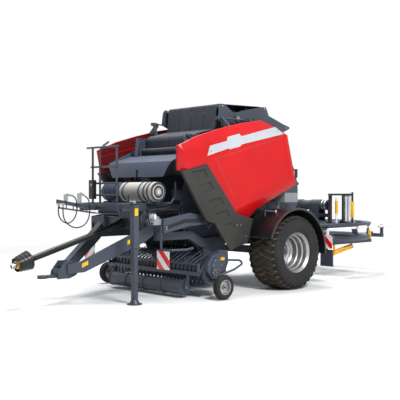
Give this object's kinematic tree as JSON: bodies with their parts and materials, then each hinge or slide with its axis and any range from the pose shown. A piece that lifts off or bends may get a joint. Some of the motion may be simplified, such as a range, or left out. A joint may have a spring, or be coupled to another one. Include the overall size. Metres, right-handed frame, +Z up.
{
  "type": "round baler with bale wrapper",
  "caption": "Towed round baler with a rear bale wrapper: drawbar, stand, pick-up, belt chamber, lifting doors and tailgate, wrapping table and turning film ring.",
  "frame": {"origin": "on the floor under the centre of the machine's bounding box", "axes": "+X runs rearwards along the machine, +Y to the machine's right, +Z up"},
  "size_m": [7.8595, 2.99, 3.078],
  "materials": {
    "slate_paint": "satin blue-grey paint",
    "dark_paint": "satin near-black paint",
    "red_paint": "gloss red paint",
    "hood_paint": "satin light slate paint",
    "white_paint": "gloss white paint",
    "grey_paint": "satin light grey paint",
    "silver_paint": "gloss silver paint",
    "yellow_paint": "gloss yellow paint",
    "panel_plastic": "matt dark grey plastic",
    "black_plastic": "matt black plastic",
    "net_wrap": "white rolled net",
    "tyre_rubber": "matt tyre rubber",
    "belt_rubber": "ribbed belt rubber",
    "hose_rubber": "smooth hose rubber",
    "bright_steel": "machined steel",
    "roller_aluminium": "ribbed aluminium",
    "board_reflector": "red and white stripes",
    "lamp_lens": "red lens"
  },
  "bodies": {
    "chassis": {"chassis_frame": "slate_paint", "axle": "slate_paint", "drawbar": "slate_paint", "hitch_eye": "slate_paint", "shaft_guard": "black_plastic", "gearbox": "slate_paint", "stand_tube": "slate_paint", "front_deck": "slate_paint", "control_box": "black_plastic", "hose_rack": "slate_paint", "hose_front": "hose_rubber", "hose_rear": "hose_rubber", "hose_plugs": "bright_steel", "chamber_walls": "slate_paint", "belts": "belt_rubber", "belt_tensioner": "slate_paint", "net_rolls": "net_wrap", "net_cradle": "slate_paint", "fenders": "black_plastic", "valve_block": "bright_steel", "tool_boxes": "grey_paint", "warning_boards": "board_reflector", "lamp_carriers": "slate_paint", "rear_lamps": "lamp_lens", "safety_bars": "white_paint", "wrapper_frame": "slate_paint", "frame_cylinders": "yellow_paint"},
    "wheel_left": {"tyre_left": "tyre_rubber", "rim_left": "silver_paint"},
    "wheel_right": {"tyre_right": "tyre_rubber", "rim_right": "silver_paint"},
    "drive_shaft": {"shaft_yoke": "bright_steel"},
    "stand": {"stand_leg": "slate_paint"},
    "feed_rotor": {"feed_rotor": "dark_paint"},
    "pickup": {"pickup_frame": "slate_paint", "pickup_bands": "slate_paint"},
    "reel": {"tine_reel": "dark_paint"},
    "windguard": {"windguard": "slate_paint"},
    "crop_roller": {"crop_roller": "slate_paint"},
    "gauge_left": {"gauge_tyre_left": "tyre_rubber", "gauge_rim_left": "silver_paint"},
    "gauge_right": {"gauge_tyre_right": "tyre_rubber", "gauge_rim_right": "silver_paint"},
    "tailgate": {"tailgate_shell": "slate_paint", "tailgate_lamps": "black_plastic"},
    "door_left": {"door_left": "red_paint", "lower_panel_left": "panel_plastic"},
    "door_right": {"door_right": "red_paint", "lower_panel_right": "panel_plastic"},
    "net_hood": {"net_hood": "hood_paint"},
    "wrap_table": {"wrap_table": "slate_paint", "table_belts": "belt_rubber"},
    "carousel": {"carousel_ring": "slate_paint", "film_dispensers": "slate_paint", "film_rollers": "roller_aluminium"}
  },
  "joints": [
    {"name": "wheel_left_spin", "type": "hinge", "parent": "chassis", "child": "wheel_left", "pos_m": [0.485, 0, 0.61], "axis": [0, 1, 0], "continuous": true},
    {"name": "wheel_right_spin", "type": "hinge", "parent": "chassis", "child": "wheel_right", "pos_m": [0.485, 0, 0.61], "axis": [0, 1, 0], "continuous": true},
    {"name": "drive_shaft_spin", "type": "hinge", "parent": "chassis", "child": "drive_shaft", "pos_m": [-3.915, 0, 0.575], "axis": [0.9617, 0, 0.2743], "continuous": true},
    {"name": "stand_slide", "type": "slide", "parent": "chassis", "child": "stand", "axis": [0, 0, 1], "range_m": [0, 0.45]},
    {"name": "feed_rotor_spin", "type": "hinge", "parent": "chassis", "child": "feed_rotor", "pos_m": [-0.645, 0, 0.6], "axis": [0, 1, 0], "continuous": true},
    {"name": "pickup_lift", "type": "hinge", "parent": "chassis", "child": "pickup", "pos_m": [-0.865, 0, 0.6], "axis": [0, 1, 0], "range_deg": [0, 15]},
    {"name": "reel_spin", "type": "hinge", "parent": "pickup", "child": "reel", "pos_m": [-1.155, 0, 0.4], "axis": [0, 1, 0], "continuous": true},
    {"name": "windguard_lift", "type": "hinge", "parent": "pickup", "child": "windguard", "pos_m": [-0.995, 0, 0.665], "axis": [0, 1, 0], "range_deg": [0, 25]},
    {"name": "crop_roller_spin", "type": "hinge", "parent": "windguard", "child": "crop_roller", "pos_m": [-1.495, 0, 0.16], "axis": [0, 1, 0], "continuous": true},
    {"name": "gauge_left_spin", "type": "hinge", "parent": "pickup", "child": "gauge_left", "pos_m": [-1.205, 0, 0.19], "axis": [0, 1, 0], "continuous": true},
    {"name": "gauge_right_spin", "type": "hinge", "parent": "pickup", "child": "gauge_right", "pos_m": [-1.205, 0, 0.19], "axis": [0, 1, 0], "continuous": true},
    {"name": "tailgate_lift", "type": "hinge", "parent": "chassis", "child": "tailgate", "pos_m": [0.335, 0, 2.72], "axis": [0, -1, 0], "range_deg": [0, 60]},
    {"name": "door_left_lift", "type": "hinge", "parent": "chassis", "child": "door_left", "pos_m": [-0.315, -0.8, 2.79], "axis": [-1, 0, 0], "range_deg": [0, 70]},
    {"name": "door_right_lift", "type": "hinge", "parent": "chassis", "child": "door_right", "pos_m": [-0.315, 0.8, 2.79], "axis": [1, 0, 0], "range_deg": [0, 70]},
    {"name": "net_hood_lift", "type": "hinge", "parent": "chassis", "child": "net_hood", "pos_m": [-1.195, 0, 2.495], "axis": [0, 1, 0], "range_deg": [0, 60]},
    {"name": "wrap_table_tilt", "type": "hinge", "parent": "chassis", "child": "wrap_table", "pos_m": [3.135, 0, 0.825], "axis": [0, 1, 0], "range_deg": [0, 25]},
    {"name": "carousel_spin", "type": "hinge", "parent": "chassis", "child": "carousel", "pos_m": [2.685, 0, 1], "axis": [0, 0, 1], "continuous": true}
  ]
}
